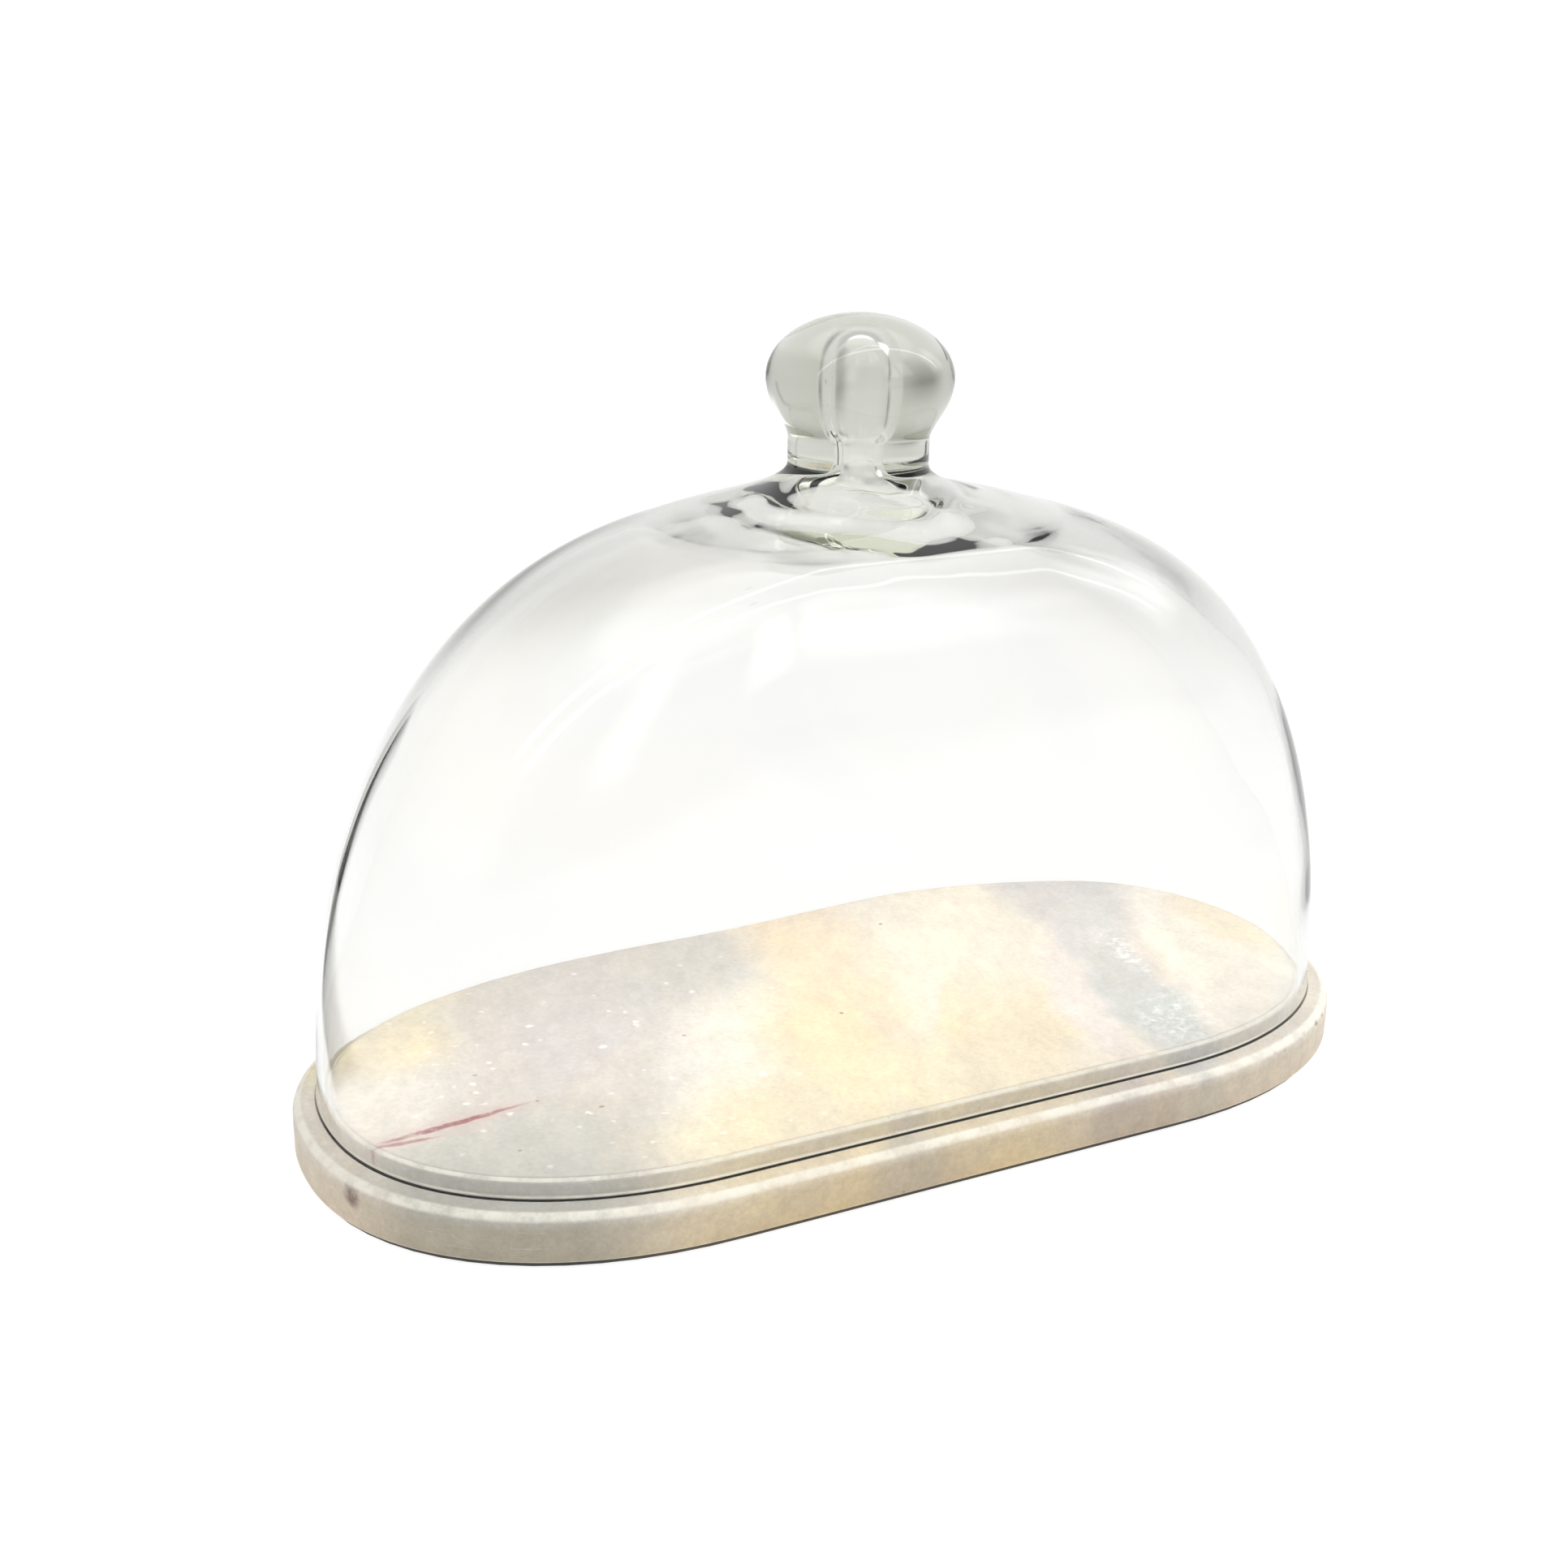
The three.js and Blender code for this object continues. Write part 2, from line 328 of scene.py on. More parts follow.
def make_dome():
    rim_length = inset_oval(LEDGE_MARGIN + LIP_FLARE, 0)["length"]
    neck = (NECK_RADIUS, NECK_HEIGHT)
    outside = shell_ovals(0, CROWN_HEIGHT)
    outside += neck_foot_ovals(outside[-1], rim_length, CROWN_HEIGHT, *neck, OUTER_NECK_STEPS)
    outside += ball_ovals(
        KNOB_RADIUS, KNOB_HEIGHT, KNOB_UNDER_HEIGHT, KNOB_CAP_HEIGHT, *neck, KNOB_STEPS
    )
    channel = (CHANNEL_RADIUS, CHANNEL_HEIGHT)
    inner_crown = CROWN_HEIGHT - CROWN_WALL
    inside = shell_ovals(GLASS_WALL, inner_crown)
    inside += neck_foot_ovals(
        inside[-1], rim_length - GLASS_WALL, inner_crown, *channel, INNER_NECK_STEPS
    )
    inside += ball_ovals(
        BULB_RADIUS, BULB_HEIGHT, BULB_UNDER_HEIGHT, BULB_CAP_HEIGHT, *channel, BULB_STEPS
    )

    def rim_arc(outer):
        """The rounded edge of the ground rim, from its side down to its flat."""
        ring = []
        for share in even_steps(RIM_STEPS)[1:]:
            turn = share * math.pi / 2
            cut = RIM_EDGE_RADIUS * (1 - math.cos(turn))
            inset = LEDGE_MARGIN + cut if outer else LEDGE_MARGIN + GLASS_WALL - cut
            ring.append(inset_oval(inset, RIM_EDGE_RADIUS * (1 - math.sin(turn))))
        return ring

    ovals = outside[::-1] + rim_arc(True) + rim_arc(False)[::-1] + inside
    knob_top = KNOB_HEIGHT + KNOB_CAP_HEIGHT
    dome = loft("blown_glass_dome", ovals, knob_top, BULB_HEIGHT + BULB_CAP_HEIGHT, DOME_FACETS)
    make_uneven(dome.data, 1 + (len(outside) + len(rim_arc(True))) * DOME_FACETS)
    dome.data.transform(Matrix.Translation((0, 0, LEDGE + RIM_CLEARANCE)))
    return dome


# ---------------------------------------------------------------- shader nodes in short

class Nodes:
    """Short calls for the shader nodes that the materials and the world are made of."""

    def __init__(self, tree):
        self.tree = tree

    def add(self, kind, **settings):
        node = self.tree.nodes.new(kind)
        for name, value in settings.items():
            setattr(node, name, value)
        return node

    def feed(self, socket, value):
        if isinstance(value, bpy.types.NodeSocket):
            self.tree.links.new(value, socket)
        else:
            socket.default_value = value

    def math(self, operation, *values):
        node = self.add("ShaderNodeMath", operation=operation)
        for socket, value in zip(node.inputs, values):
            self.feed(socket, value)
        return node.outputs["Value"]

    def add_up(self, *values):
        total = values[0]
        for value in values[1:]:
            total = self.math("ADD", total, value)
        return total

    def scaled(self, value, factor):
        return self.math("MULTIPLY", value, factor)

    def step(self, value, low, high, to_low=0.0, to_high=1.0):
        """A smooth change from to_low to to_high as the value goes from low to high."""
        node = self.add("ShaderNodeMapRange", interpolation_type="SMOOTHSTEP")
        for name, setting in (
            ("Value", value), ("From Min", low), ("From Max", high), ("To Min", to_low), ("To Max", to_high)
        ):
            self.feed(node.inputs[name], setting)
        return node.outputs["Result"]

    def most(self, *values):
        highest = values[0]
        for value in values[1:]:
            highest = self.math("MAXIMUM", highest, value)
        return highest

    def split(self, vector):
        node = self.add("ShaderNodeSeparateXYZ")
        self.feed(node.inputs["Vector"], vector)
        return node.outputs

    def on_object(self):
        return self.add("ShaderNodeTexCoord").outputs["Object"]

    def place(self, vector, centre=(0, 0, 0), size=(1, 1, 1), turn=0.0):
        """The vector seen from a frame at the centre, turned about Z by degrees, in units of the size."""
        node = self.add("ShaderNodeMapping", vector_type="TEXTURE")
        self.feed(node.inputs["Vector"], vector)
        node.inputs["Location"].default_value = centre
        node.inputs["Rotation"].default_value = (0, 0, math.radians(turn))
        node.inputs["Scale"].default_value = size
        return node.outputs["Vector"]

    def patch(self, vector, centre, size, turn=0.0, soft=0.8):
        """1 inside an ellipsoid and 0 outside it. Soft is the share of its radius where it fades."""
        radius = self.add("ShaderNodeVectorMath", operation="LENGTH")
        self.feed(radius.inputs[0], self.place(vector, centre, size, turn))
        return self.step(radius.outputs["Value"], 1 - soft / 2, 1 + soft / 2, 1.0, 0.0)

    def noise(self, vector, scale, detail=3.0, roughness=0.5, distortion=0.0, output="Fac"):
        node = self.add("ShaderNodeTexNoise")
        self.feed(node.inputs["Vector"], vector)
        node.inputs["Scale"].default_value = scale
        node.inputs["Detail"].default_value = detail
        node.inputs["Roughness"].default_value = roughness
        node.inputs["Distortion"].default_value = distortion
        return node.outputs[output]

    def grain(self, vector, scale, detail, roughness, low, high, distortion=0.0):
        """Blotches of that scale: 0 where the noise is under low, and 1 where it is over high."""
        return self.step(self.noise(vector, scale, detail, roughness, distortion), low, high)

    def cells(self, vector, scale):
        """Scattered points: the distance to the nearest one, and a random value for each."""
        node = self.add("ShaderNodeTexVoronoi")
        self.feed(node.inputs["Vector"], vector)
        node.inputs["Scale"].default_value = scale
        return node.outputs["Distance"], self.channel(node.outputs["Color"], 0)

    def channel(self, colour, index):
        node = self.add("ShaderNodeSeparateColor")
        self.feed(node.inputs["Color"], colour)
        return node.outputs[index]

    def shift(self, vector, scale, reach, detail=2.0):
        """The vector moved about by up to roughly the reach, by a noise of that scale."""
        wander = self.noise(vector, scale, detail, output="Color")
        centred = self.add("ShaderNodeVectorMath", operation="SUBTRACT")
        self.feed(centred.inputs[0], wander)
        centred.inputs[1].default_value = (0.5, 0.5, 0.5)
        moved = self.add("ShaderNodeVectorMath", operation="MULTIPLY_ADD")
        self.feed(moved.inputs[0], centred.outputs["Vector"])
        moved.inputs[1].default_value = (2 * reach, 2 * reach, 2 * reach)
        self.feed(moved.inputs[2], vector)
        return moved.outputs["Vector"]

    def blend(self, share, first, second, kind="MIX"):
        node = self.add("ShaderNodeMix", data_type="RGBA", blend_type=kind)
        self.feed(node.inputs["Factor"], share)
        self.feed(node.inputs[6], first)
        self.feed(node.inputs[7], second)
        return node.outputs[2]

    def lay(self, mask, colour, layer):
        """The colour with a layer, given as a strength and a tone, over it where the mask is 1."""
        strength, tone = layer
        return self.blend(self.scaled(mask, strength), colour, tone)

    def shade(self, mask, colour, layer):
        """The colour multiplied by a layer's tone where the mask is 0, by that layer's strength."""
        strength, tone = layer
        return self.blend(strength, colour, self.blend(mask, tone, (1, 1, 1, 1)), "MULTIPLY")

    def bump(self, height, distance, strength=1.0, below=None):
        node = self.add("ShaderNodeBump")
        self.feed(node.inputs["Height"], height)
        node.inputs["Distance"].default_value = distance
        node.inputs["Strength"].default_value = strength
        if below is not None:
            self.feed(node.inputs["Normal"], below)
        return node.outputs["Normal"]


def new_material(name):
    material = bpy.data.materials.new(name)
    material.use_nodes = True
    nodes = Nodes(material.node_tree)
    return material, nodes, material.node_tree.nodes["Principled BSDF"]


def screen_colour(red, green, blue):
    """A colour given as it looks on a screen, from 0 to 255, as the renderer wants it."""
    def linear(value):
        share = value / 255
        return share / 12.92 if share <= 0.04045 else ((share + 0.055) / 1.055) ** 2.4
    return (linear(red), linear(green), linear(blue), 1.0)


# ---------------------------------------------------------------- glass

GLASS_IOR = 1.5
# What a metre of the glass takes out of each colour is the density times one less the tint.
GLASS_TINT = (0.713, 0.723, 0.657, 1)
GLASS_TINT_DENSITY = 44.0
CORD_SCALE = 60.0
CORD_DEPTH = 0.1 * MM
CORD_STRENGTH = 0.3


def glass_material():
    material, nodes, shader = new_material("clear_blown_glass")
    shader.inputs["Base Color"].default_value = (1, 1, 1, 1)
    shader.inputs["Roughness"].default_value = 0.0
    shader.inputs["IOR"].default_value = GLASS_IOR
    shader.inputs["Transmission Weight"].default_value = 1.0
    cords = nodes.noise(nodes.place(nodes.on_object(), size=(1, 1, 3)), CORD_SCALE, 2.0)
    nodes.feed(shader.inputs["Normal"], nodes.bump(cords, CORD_DEPTH, CORD_STRENGTH))
    tint = nodes.add("ShaderNodeVolumeAbsorption")
    tint.inputs["Color"].default_value = GLASS_TINT
    tint.inputs["Density"].default_value = GLASS_TINT_DENSITY
    nodes.feed(material.node_tree.nodes["Material Output"].inputs["Volume"], tint.outputs["Volume"])
    return material


# ---------------------------------------------------------------- marble

STONE = screen_colour(241, 234, 220)
# A painted highlight on the rounded upper edges.
PAINTED_EDGE_HIGHLIGHT = screen_colour(253, 249, 236)
# What is laid over the clouds: how much of it, and its colour.
GREY_DRIFT = (0.38, screen_colour(214, 204, 196))
WARM_DRIFT = (0.16, screen_colour(246, 226, 190))
WHITE_CRYSTAL = (0.58, screen_colour(250, 249, 246))
PIT_BROWN = (0.75, screen_colour(128, 110, 96))
RUST_BROWN = (0.8, screen_colour(104, 70, 52))
CHALK_WHITE = (0.45, screen_colour(248, 244, 236))
# What darkens them: how much, and what the colour is multiplied by.
STREAK_SHADE = (0.15, (0.45, 0.43, 0.41, 1))
MOTTLE_SHADE = (0.18, (0.48, 0.45, 0.42, 1))
SUGAR_SHADE = (0.15, (0.3, 0.3, 0.3, 1))
# Painted shade: what the slab's side is multiplied by, below the ledge and again low down.
SIDE_PAINTED_SHADE = (0.86, 0.80, 0.70, 1)
BED_TURN = -20
SLAB_SIDE_FROM, SLAB_SIDE_TO = 9.5 * MM, 13.2 * MM
LOW_SIDE_FROM, LOW_SIDE_TO = 0.5 * MM, 8 * MM
THROUGH = 1000.0
# Each cloud in the stone: name, colour, middle (mm), half size (mm), turn (degrees), strength,
# softness. They reach down through the slab, so its side shows where each one is cut.
STONE_CLOUDS = [
    ("cream behind the left end", (244, 230, 190), (-112, 44), (34, 26), 35, 0.9, 0.9),
    ("peach line beside it", (226, 196, 172), (-91, 47), (26, 2.2), 68, 0.6, 1.0),
    ("grey cloud left of the middle", (207, 202, 193), (-50, 46), (54, 32), 8, 1.0, 0.8),
    ("its lilac tail", (207, 202, 199), (-84, 2), (54, 28), 62, 0.9, 0.9),
    ("green-grey corner", (194, 193, 184), (-118, -50), (46, 28), 28, 0.95, 0.8),
    ("peach streak at the back", (246, 224, 186), (14, 50), (38, 18), 74, 0.85, 1.1),
    ("peach heart", (247, 224, 180), (-8, -10), (34, 22), 66, 0.9, 1.1),
    ("long cream field", (246, 230, 192), (-12, -54), (66, 28), 4, 0.95, 0.8),
    ("cream tongue", (246, 227, 184), (38, -24), (30, 19), 72, 0.95, 0.35),
    ("pale field at the right", (248, 236, 212), (58, 30), (48, 30), 70, 0.8, 1.0),
    ("rose-white band", (242, 228, 220), (64, -28), (36, 8), 70, 0.8, 0.8),
    ("grey band at the back", (206, 203, 201), (104, 46), (42, 20), 72, 1.0, 0.7),
    ("grey band in the middle", (212, 210, 206), (90, 8), (32, 9), 70, 0.95, 0.7),
    ("blue-grey band in front", (200, 204, 200), (80, -34), (38, 12), 76, 1.0, 0.6),
    ("brown smudge", (222, 206, 188), (100, -14), (16, 6), 66, 0.6, 1.2),
    ("white right end", (250, 243, 224), (120, -18), (32, 20), 78, 0.9, 0.8),
    ("cream right edge", (247, 231, 194), (137, 4), (28, 9), 84, 0.8, 0.9),
    ("grey side patch", (216, 208, 192), (-20, -74), (12, 12), 90, 0.8, 0.7),
    ("plum side patch", (204, 193, 186), (49, -74), (10, 14), 90, 0.75, 0.7),
]
# Thin marks, with the height of their middle above the table and their half height as well.
ROSE_VEINS = [
    ("its halo", (206, 176, 170), (-120, -19, 19), (20, 4.0, 8), 6, 0.5, 1.2),
    ("the vein", (146, 84, 84), (-119, -18.9, 19), (17.5, 1.0, 6), 6, 1.0, 0.8),
    ("its second strand", (160, 96, 94), (-133, -22.6, 19), (8, 0.7, 6), -4, 0.8, 0.9),
    ("the plum spot on the side", (104, 66, 64), (-148, -27, 10.2), (2.4, 2.4, 2.6), -58, 0.85, 1.3),
]
# These reach through the slab again: name, middle, half size, turn and softness.
WHITE_VEINS = [
    ("crystals in the grey band", (79, -46), (15, 10), 60, 1.0),
    ("crystals higher up", (92, -2), (16, 5), 78, 0.9),
    ("the long white vein", (90, -14), (22, 0.9), 84, 0.9),
]
FLAKES_MIDDLE, FLAKES_HALF_SIZE = (-72, 0, 0), (64, 62, THROUGH)
PITS = [
    (-106.6, 4), (-109, -38.4), (-48.6, 0.4), (-3, -3.6), (35.4, 41.4), (-83, -26), (-96.5, -17),
]
PIT_HALF_SIZE = (0.55, 0.45, THROUGH)
RUST_SPOTS = [
    (99, -67, 12.8), (103, -66, 12), (114.5, -60.5, 12.9), (122, -56, 12.2), (128, -52.5, 12.6),
]
RUST_HALF_SIZE = (1.2, 0.9, 0.8)


def in_mm(values):
    return tuple(value * MM for value in values)


def cloudy_stone(nodes, warped):
    colour = STONE
    for _, tone, centre, size, turn, strength, soft in STONE_CLOUDS:
        share = nodes.patch(warped, in_mm((*centre, 0)), in_mm((*size, THROUGH)), turn, soft)
        colour = nodes.lay(share, colour, (strength, screen_colour(*tone)))
    return colour


def bedded(nodes, colour, place, ragged):
    """Broad faint drifts along the stone's bedding, finer streaks along the same run, and mottling."""
    along_bed = nodes.place(nodes.shift(place, 30.0, 5 * MM, 4.0), size=(1, 2.4, 1), turn=BED_TURN)
    drift = nodes.grain(along_bed, 28.0, 6.0, 0.62, 0.38, 0.62, distortion=0.5)
    colour = nodes.lay(drift, colour, GREY_DRIFT)
    elsewhere = nodes.place(along_bed, centre=(0.3, 0.1, 0))
    warm = nodes.grain(elsewhere, 46.0, 6.0, 0.65, 0.46, 0.68, distortion=0.6)
    colour = nodes.lay(warm, colour, WARM_DRIFT)
    streaks = nodes.grain(along_bed, 150.0, 5.0, 0.7, 0.3, 0.7)
    colour = nodes.shade(streaks, colour, STREAK_SHADE)
    ragged_bed = nodes.place(ragged, size=(1, 1.6, 1), turn=BED_TURN)
    return nodes.shade(nodes.grain(ragged_bed, 190.0, 6.0, 0.8, 0.36, 0.64), colour, MOTTLE_SHADE)


def rose_veined(nodes, colour, place, ragged):
    broken = nodes.step(nodes.noise(place, 240.0, 4.0, 0.7), 0.32, 0.55, 0.45, 1.0)
    for _, tone, centre, size, turn, strength, soft in ROSE_VEINS:
        share = nodes.scaled(nodes.patch(ragged, in_mm(centre), in_mm(size), turn, soft), broken)
        colour = nodes.lay(share, colour, (strength, screen_colour(*tone)))
    return colour


def white_crystals(nodes, place, warped, ragged):
    """Crumbly veins in the grey band, and flakes strewn over the grey left half."""
    crumble = nodes.grain(place, 260.0, 6.0, 0.8, 0.46, 0.64)
    crystals = 0.0
    for _, centre, size, turn, soft in WHITE_VEINS:
        share = nodes.patch(ragged, in_mm((*centre, 0)), in_mm((*size, THROUGH)), turn, soft)
        crystals = nodes.most(crystals, nodes.scaled(share, crumble))
    far, luck = nodes.cells(nodes.shift(place, 500.0, 1.2 * MM), 230.0)
    flakes = nodes.scaled(nodes.step(far, 0.12, 0.28, 1.0, 0.0), nodes.step(luck, 0.74, 0.80))
    strewn = nodes.patch(warped, in_mm(FLAKES_MIDDLE), in_mm(FLAKES_HALF_SIZE), 0, 1.2)
    return nodes.most(crystals, nodes.scaled(flakes, strewn))


def dark_pits(nodes, place, ragged):
    """The pits seen in the photo, and a few more anywhere."""
    far, luck = nodes.cells(nodes.shift(place, 700.0, 0.5 * MM), 190.0)
    stray = nodes.scaled(nodes.step(far, 0.04, 0.09, 1.0, 0.0), nodes.step(luck, 0.965, 0.97))
    pits = nodes.scaled(stray, 0.7)
    for centre in PITS:
        pits = nodes.most(pits, nodes.patch(ragged, in_mm((*centre, 0)), in_mm(PIT_HALF_SIZE), 0, 0.8))
    return pits


def rust_spots(nodes, ragged):
    rust = 0.0
    for centre in RUST_SPOTS:
        rust = nodes.most(rust, nodes.patch(ragged, in_mm(centre), in_mm(RUST_HALF_SIZE), 25, 1.2))
    return rust


GLOW_SHARE = 0.12
GLOW_DEPTH = 3 * MM
GLOW_SPREAD = (1.0, 0.8, 0.6)


def marble_material():
    material, nodes, shader = new_material("honed_marble")
    place = nodes.on_object()
    warped = nodes.shift(nodes.shift(place, 14.0, 9 * MM), 60.0, 6.0 * MM, 6.0)
    ragged = nodes.shift(nodes.shift(place, 45.0, 1.2 * MM), 300.0, 0.9 * MM, 4.0)
    sugar = nodes.grain(place, 700.0, 4.0, 0.8, 0.35, 0.65)
    crystals = white_crystals(nodes, place, warped, ragged)
    pits = dark_pits(nodes, place, ragged)
    rust = rust_spots(nodes, ragged)

    colour = bedded(nodes, cloudy_stone(nodes, warped), place, ragged)
    colour = nodes.shade(sugar, colour, SUGAR_SHADE)
    colour = rose_veined(nodes, colour, place, ragged)
    colour = nodes.lay(crystals, colour, WHITE_CRYSTAL)
    colour = nodes.lay(pits, colour, PIT_BROWN)
    colour = nodes.lay(rust, colour, RUST_BROWN)

    # The sawn side below the ledge is darker than the honed top: painted shade, more so low down. It has
    # chalky brush marks. The upper edges carry a painted pale highlight.
    upward = nodes.split(nodes.add("ShaderNodeNewGeometry").outputs["Normal"])["Z"]
    on_side = nodes.step(nodes.math("ABSOLUTE", upward), 0.25, 0.8, 1.0, 0.0)
    edge_highlight_mask = nodes.scaled(nodes.step(upward, 0.30, 0.62), nodes.step(upward, 0.90, 0.99, 1.0, 0.0))
    height = nodes.split(place)["Z"]
    shade_below_ledge = nodes.step(height, SLAB_SIDE_FROM, SLAB_SIDE_TO, 1.0, 0.0)
    more_shade_low_down = nodes.step(height, LOW_SIDE_FROM, LOW_SIDE_TO, 0.5, 0.0)
    # Painted shade on the side: once below the ledge, and again low down.
    for share in (shade_below_ledge, more_shade_low_down):
        shaded_side = nodes.blend(1.0, colour, SIDE_PAINTED_SHADE, "MULTIPLY")
        colour = nodes.blend(nodes.scaled(on_side, share), colour, shaded_side)
    # A painted highlight on the upper edges, broken up by noise.
    edge_highlight_strength = nodes.step(nodes.noise(place, 160.0, 5.0, 0.7), 0.3, 0.6, 0.25, 0.75)
    colour = nodes.blend(nodes.scaled(edge_highlight_mask, edge_highlight_strength), colour, PAINTED_EDGE_HIGHLIGHT)
    brush = nodes.noise(nodes.place(place, size=(1, 1, 0.03)), 42.0, 5.0, 0.75)
    chalk = nodes.scaled(nodes.step(brush, 0.60, 0.72), on_side)
    nodes.feed(shader.inputs["Base Color"], nodes.lay(chalk, colour, CHALK_WHITE))

    rub = nodes.noise(nodes.place(place, size=(1, 0.1, 1), turn=-30), 300.0, 3.0, 0.6)
    on_top = nodes.math("SUBTRACT", 1.0, on_side)
    scratches = nodes.most(nodes.scaled(rub, on_top), nodes.scaled(brush, on_side))
    nodes.feed(shader.inputs["Roughness"], nodes.add_up(
        0.30,
        nodes.scaled(nodes.noise(place, 90.0, 4.0, 0.6), 0.16),
        nodes.scaled(scratches, 0.12),
        nodes.scaled(crystals, 0.12),
    ))
    relief = nodes.add_up(
        nodes.scaled(scratches, 0.7),
        nodes.scaled(crystals, -0.15),
        nodes.scaled(pits, -2.5),
        nodes.scaled(rust, -1.5),
        nodes.scaled(sugar, 0.12),
    )
    swell = nodes.bump(nodes.noise(place, 45.0, 2.0), 0.6 * MM, 0.4)
    nodes.feed(shader.inputs["Normal"], nodes.bump(relief, 0.12 * MM, 0.7, swell))
    shader.inputs["Subsurface Weight"].default_value = GLOW_SHARE
    shader.inputs["Subsurface Radius"].default_value = GLOW_SPREAD
    shader.inputs["Subsurface Scale"].default_value = GLOW_DEPTH
    return material


# ---------------------------------------------------------------- bumper feet

RUBBER_DARK = screen_colour(196, 196, 190)
RUBBER_LIGHT = screen_colour(222, 221, 214)
RUBBER_DUST = screen_colour(150, 146, 138)


def bumper_material():
    material, nodes, shader = new_material("bumper_rubber")
    place = nodes.on_object()
    mottle = nodes.noise(place, 700.0, 3.0)
    tone = nodes.blend(nodes.step(mottle, 0.3, 0.7), RUBBER_DARK, RUBBER_LIGHT)
    far, luck = nodes.cells(place, 2600.0)
    dust = nodes.scaled(nodes.step(far, 0.1, 0.4, 1.0, 0.0), nodes.step(luck, 0.8, 0.9))
    nodes.feed(shader.inputs["Base Color"], nodes.blend(nodes.scaled(dust, 0.5), tone, RUBBER_DUST))
    nodes.feed(shader.inputs["Roughness"], nodes.step(mottle, 0.3, 0.7, 0.42, 0.62))
    nodes.feed(shader.inputs["Normal"], nodes.bump(nodes.noise(place, 1800.0, 2.0), 0.05 * MM, 0.5))
    return material


# ---------------------------------------------------------------- studio

FLOOR_REACH = 6.0
FLOOR_REFLECTANCE = 0.30
FLOOR_GLOW = 0.84
SHADE_INSET = 1.5 * MM
SHADE_LIFT = 0.05 * MM
SHADE_CORNERS = 96


def add_stage(name, points, faces, material):
    mesh = bpy.data.meshes.new(name)
    mesh.from_pydata([tuple(point) for point in points], [], faces)
    prop = bpy.data.objects.new(name, mesh)
    bpy.context.scene.collection.objects.link(prop)
    prop.data.materials.append(material)
    return prop


def glowing_material(name, reflectance):
    """A matt grey that also shines white by itself, with the socket for how much."""
    material, nodes, shader = new_material(name)
    shader.inputs["Base Color"].default_value = (reflectance, reflectance, reflectance, 1)
    shader.inputs["Roughness"].default_value = 1.0
    shader.inputs["Specular IOR Level"].default_value = 0.0
    shader.inputs["Emission Color"].default_value = (1, 1, 1, 1)
    return material, nodes, shader.inputs["Emission Strength"]


def make_floor():
    """A light table: a pale sheet lit from below, but for the shade right under the object."""
    reach = FLOOR_REACH
    corners = [(-reach, -reach, 0), (reach, -reach, 0), (reach, reach, 0), (-reach, reach, 0)]
    shade = oval_points(inset_oval(SHADE_INSET, 0), SHADE_CORNERS)
    for name, points, lift, brightness in (
        ("studio_floor", corners, 0, FLOOR_GLOW),
        ("shade_under_object", shade, SHADE_LIFT, 0),
    ):
        material, nodes, glow = glowing_material(name, FLOOR_REFLECTANCE)
        glow.default_value = brightness
        sheet = add_stage(name, points, [tuple(range(len(points)))], material)
        sheet.location.z = lift


# The long soft box over the object, in line with its length: how far it is to the front of the
# middle, and its half width and brightness for the world and as the glass sees it.
STRIP_BACK = 0.12
WORLD_STRIP = (0.10, 6.1)
GLASS_STRIP = (0.022, 3.0)
STRIP_ENDS = (0.45, 0.60)


def overhead_strip(nodes, y, z, half_width, brightness):
    aside = nodes.math("ABSOLUTE", nodes.add_up(y, STRIP_BACK))
    across = nodes.step(aside, 0.6 * half_width, 1.4 * half_width, brightness, 0.0)
    return nodes.scaled(across, nodes.step(z, *STRIP_ENDS))


# The world's brightness, and the heights and the reach to the right over which it changes, on a
# sphere with a radius of 1.
HORIZON_WHITE = 1.10
HORIZON_EDGE = (0.10, 0.20)
ROOM_LIGHT = 0.13
RIGHT_LIGHT = 1.2
RIGHT_EDGE = (0.30, 0.85)


def make_world():
    """What lights the object and shows behind it: a white horizon, a dim room and the long strip."""
    world = bpy.data.worlds.new("studio")
    bpy.context.scene.world = world
    world.use_nodes = True
    nodes = Nodes(world.node_tree)
    background = world.node_tree.nodes["Background"]
    background.inputs["Color"].default_value = (1, 1, 1, 1)
    x, y, z = nodes.split(nodes.add("ShaderNodeTexCoord").outputs["Generated"])
    nodes.feed(background.inputs["Strength"], nodes.add_up(
        nodes.step(z, *HORIZON_EDGE, HORIZON_WHITE, ROOM_LIGHT),
        nodes.step(x, *RIGHT_EDGE, 0.0, RIGHT_LIGHT),
        overhead_strip(nodes, y, z, *WORLD_STRIP),
    ))


# The studio as the glass sees it: the backdrop below and above the horizon, and how much dimmer
# it is high up and in the room in front. Then the ceiling's own light. The edges are elevations
# in degrees, but for the room's front edge, which is a reach along Y out of 1.
BACKDROP_LOW, BACKDROP_HIGH = 1.10, 0.95
BACKDROP_EDGE = (-9.0, 3.0)
HIGH_SHADE = 0.72
HIGH_EDGE = (26.0, 44.0)
FRONT_ROOM_SHADE = 0.45
FRONT_ROOM_EDGE = (-0.1, -0.5)
FRONT_ROOM_FOOT = (2.0, 10.0)
CEILING_LIGHT = 1.1
CEILING_EDGE = (52.0, 62.0)
# Soft boxes and a flag: name, bearing clockwise from +Y and elevation of the middle (degrees), half
# width and half height (degrees), softness of the edge (degrees) and what each adds to the light.
SOFT_BOXES = [
    ("window pane", 148, 44, 8, 12, 4, 1.8),
    ("window pane beside it", 168, 44, 8, 12, 4, 1.8),
    ("side window", -140, 40, 7, 16, 6, 1.3),
    ("right lamp", 96, 38, 12, 12, 6, 1.8),
    ("grey flag behind the crown", -1, 10, 12, 5.5, 10, -0.56),
]


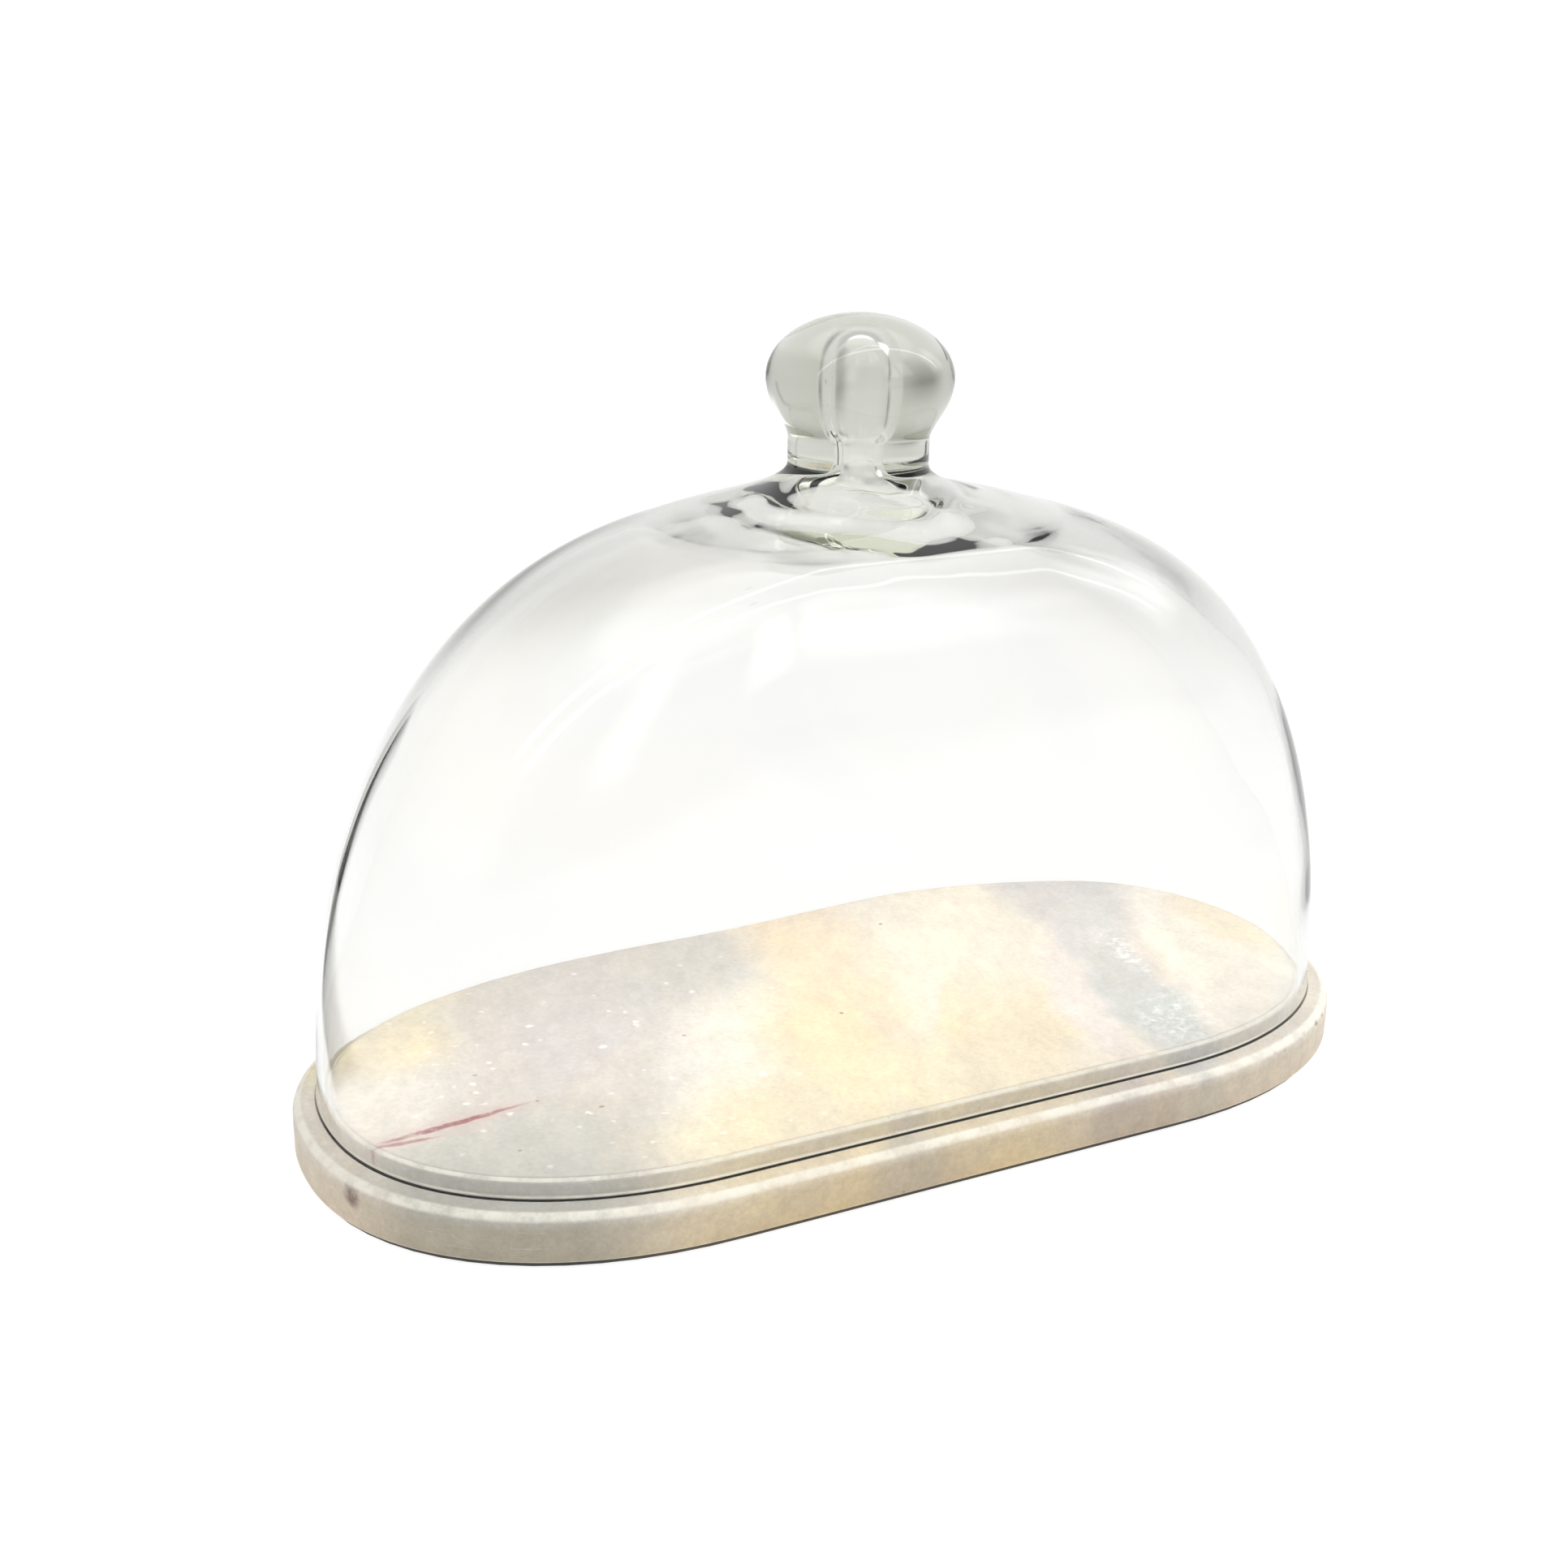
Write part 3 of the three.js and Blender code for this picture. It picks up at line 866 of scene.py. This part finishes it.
def studio_light(nodes, direction):
    """The brightness of the studio in a direction, as the glass sees it."""
    x, y, z = nodes.split(direction)
    to_degrees = 180 / math.pi
    rise = nodes.scaled(nodes.math("ARCSINE", z), to_degrees)
    bearing = nodes.scaled(nodes.math("ARCTAN2", x, y), to_degrees)

    light = nodes.step(rise, *BACKDROP_EDGE, BACKDROP_LOW, BACKDROP_HIGH)
    light = nodes.scaled(light, nodes.step(rise, *HIGH_EDGE, 1.0, HIGH_SHADE))
    front_room = nodes.scaled(nodes.step(y, *FRONT_ROOM_EDGE), nodes.step(rise, *FRONT_ROOM_FOOT))
    light = nodes.scaled(light, nodes.step(front_room, 0.0, 1.0, 1.0, FRONT_ROOM_SHADE))
    light = nodes.add_up(light, nodes.step(rise, *CEILING_EDGE, 0.0, CEILING_LIGHT))
    light = nodes.add_up(light, overhead_strip(nodes, y, z, *GLASS_STRIP))
    for _, middle, height, half_width, half_height, soft, strength in SOFT_BOXES:
        off_middle = nodes.math("WRAP", nodes.math("SUBTRACT", bearing, middle), 180.0, -180.0)
        aside = nodes.math("ABSOLUTE", off_middle)
        above = nodes.math("ABSOLUTE", nodes.math("SUBTRACT", rise, height))
        across = nodes.step(aside, half_width - soft, half_width + soft, 1.0, 0.0)
        along = nodes.step(above, half_height - soft, half_height + soft, 1.0, 0.0)
        light = nodes.add_up(light, nodes.scaled(nodes.scaled(across, along), strength))
    return light


def only_for_glass(prop):
    prop.active_material.cycles.emission_sampling = "NONE"
    prop.visible_camera = False
    prop.visible_diffuse = False
    prop.visible_shadow = False


BOWL_RADIUS = 0.5
BOWL_HEIGHT = 0.09
BOWL_TURNS = 64
BOWL_RINGS = 32
BOWL_TOP = 89


def make_glass_surround():
    """A bowl round the object that only the glass sees: what shows through it and in its edges."""
    material, nodes, glow = glowing_material("glass_surround", 0)
    away = nodes.add("ShaderNodeVectorMath", operation="SUBTRACT")
    nodes.feed(away.inputs[0], nodes.on_object())
    away.inputs[1].default_value = (0, 0, BOWL_HEIGHT)
    direction = nodes.add("ShaderNodeVectorMath", operation="NORMALIZE")
    nodes.feed(direction.inputs[0], away.outputs["Vector"])
    nodes.feed(glow, studio_light(nodes, direction.outputs["Vector"]))
    points = []
    for share in even_steps(BOWL_RINGS):
        rise = math.radians(mix(-BOWL_TOP, BOWL_TOP, share))
        for turn in even_steps(BOWL_TURNS)[:-1]:
            angle = turn * 2 * math.pi
            reach = BOWL_RADIUS * math.cos(rise)
            z = max(0.1 * MM, BOWL_HEIGHT + BOWL_RADIUS * math.sin(rise))
            points.append((reach * math.sin(angle), reach * math.cos(angle), z))
    faces = []
    for ring in range(BOWL_RINGS):
        for turn in range(BOWL_TURNS):
            after = (turn + 1) % BOWL_TURNS
            low, high = ring * BOWL_TURNS, (ring + 1) * BOWL_TURNS
            faces.append((low + turn, low + after, high + after, high + turn))
    only_for_glass(add_stage("glass_surround", points, faces, material))


# An upright dark card behind the left end, with a grey mat before it on the floor, so that the edge
# of the glass there draws a dark line. Both fade to white, so they leave no hard shape in the glass.
CARD_LEFT = -0.25
CARD_RIGHT = -0.168
CARD_BACK = 0.31
CARD_TOP = 0.16
CARD_LOW = 0.2 * MM
CARD_FADE = 0.03
CARD_LIGHT = 0.0
MAT_FRONT = 0.03
MAT_LIGHT = 0.20


def make_dark_card():
    for name, front, top, darkest in (
        ("dark_card", CARD_BACK, CARD_TOP, CARD_LIGHT),
        ("grey_mat", MAT_FRONT, CARD_LOW, MAT_LIGHT),
    ):
        material, nodes, glow = glowing_material(name, 0)
        x, y, z = nodes.split(nodes.on_object())
        faded = nodes.most(
            nodes.step(x, CARD_RIGHT - 0.3 * CARD_FADE, CARD_RIGHT),
            nodes.step(x, CARD_LEFT, CARD_LEFT + 1.5 * CARD_FADE, 1.0, 0.0),
            nodes.step(z, CARD_TOP - CARD_FADE, CARD_TOP),
            nodes.step(y, MAT_FRONT, MAT_FRONT + CARD_FADE, 1.0, 0.0),
        )
        nodes.feed(glow, nodes.step(faded, 0.0, 1.0, darkest, 1.0))
        points = [
            (CARD_LEFT, front, CARD_LOW),
            (CARD_RIGHT, front, CARD_LOW),
            (CARD_RIGHT, CARD_BACK, top),
            (CARD_LEFT, CARD_BACK, top),
        ]
        only_for_glass(add_stage(name, points, [(0, 1, 2, 3)], material))


# ---------------------------------------------------------------- camera

# Fitted to the photo. Its azimuth is negative to the left of the front.
CAMERA_AZIMUTH = -27.135
CAMERA_ELEVATION = 19.312
CAMERA_ROLL = 0.855
CAMERA_DISTANCE = 540.48 * MM
CAMERA_AIM_RIGHT = -17.59 * MM
CAMERA_AIM_HEIGHT = 83.55 * MM
CAMERA_LENS = 46.17
SENSOR_WIDTH = 36


def make_camera():
    angles = (CAMERA_AZIMUTH, CAMERA_ELEVATION, CAMERA_ROLL)
    azimuth, elevation, roll = (math.radians(angle) for angle in angles)
    back = Vector((
        math.sin(azimuth) * math.cos(elevation),
        -math.cos(azimuth) * math.cos(elevation),
        math.sin(elevation),
    ))
    level_right = Vector((math.cos(azimuth), math.sin(azimuth), 0))
    level_up = back.cross(level_right)
    right = level_right * math.cos(roll) + level_up * math.sin(roll)
    up = level_up * math.cos(roll) - level_right * math.sin(roll)
    aim = level_right * CAMERA_AIM_RIGHT + Vector((0, 0, CAMERA_AIM_HEIGHT))
    place = aim + back * CAMERA_DISTANCE
    camera = bpy.data.objects.new("camera", bpy.data.cameras.new("camera"))
    camera.matrix_world = Matrix.Translation(place) @ Matrix((right, up, back)).transposed().to_4x4()
    camera.data.lens = CAMERA_LENS
    camera.data.sensor_width = SENSOR_WIDTH
    camera.data.clip_start = 0.01
    camera.data.clip_end = 50
    bpy.context.scene.collection.objects.link(camera)
    bpy.context.scene.camera = camera


# ---------------------------------------------------------------- assembly

bpy.context.scene.view_settings.view_transform = "Standard"
make_camera()
make_floor()
make_world()
make_glass_surround()
make_dark_card()

base = make_base()
base.data.materials.append(marble_material())
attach(base, "base")
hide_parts("marble_base")

dome = make_dome()
dome.data.materials.append(glass_material())
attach(dome, "dome")
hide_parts("glass_dome")
# With the shadow on, the lights don't reach the stone straight through the glass, and it goes dark.
dome.visible_shadow = False

bumper = bumper_material()
for node_name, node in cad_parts.items():
    if node_name.startswith("foot_"):
        node.data.materials.clear()
        node.data.materials.append(bumper)
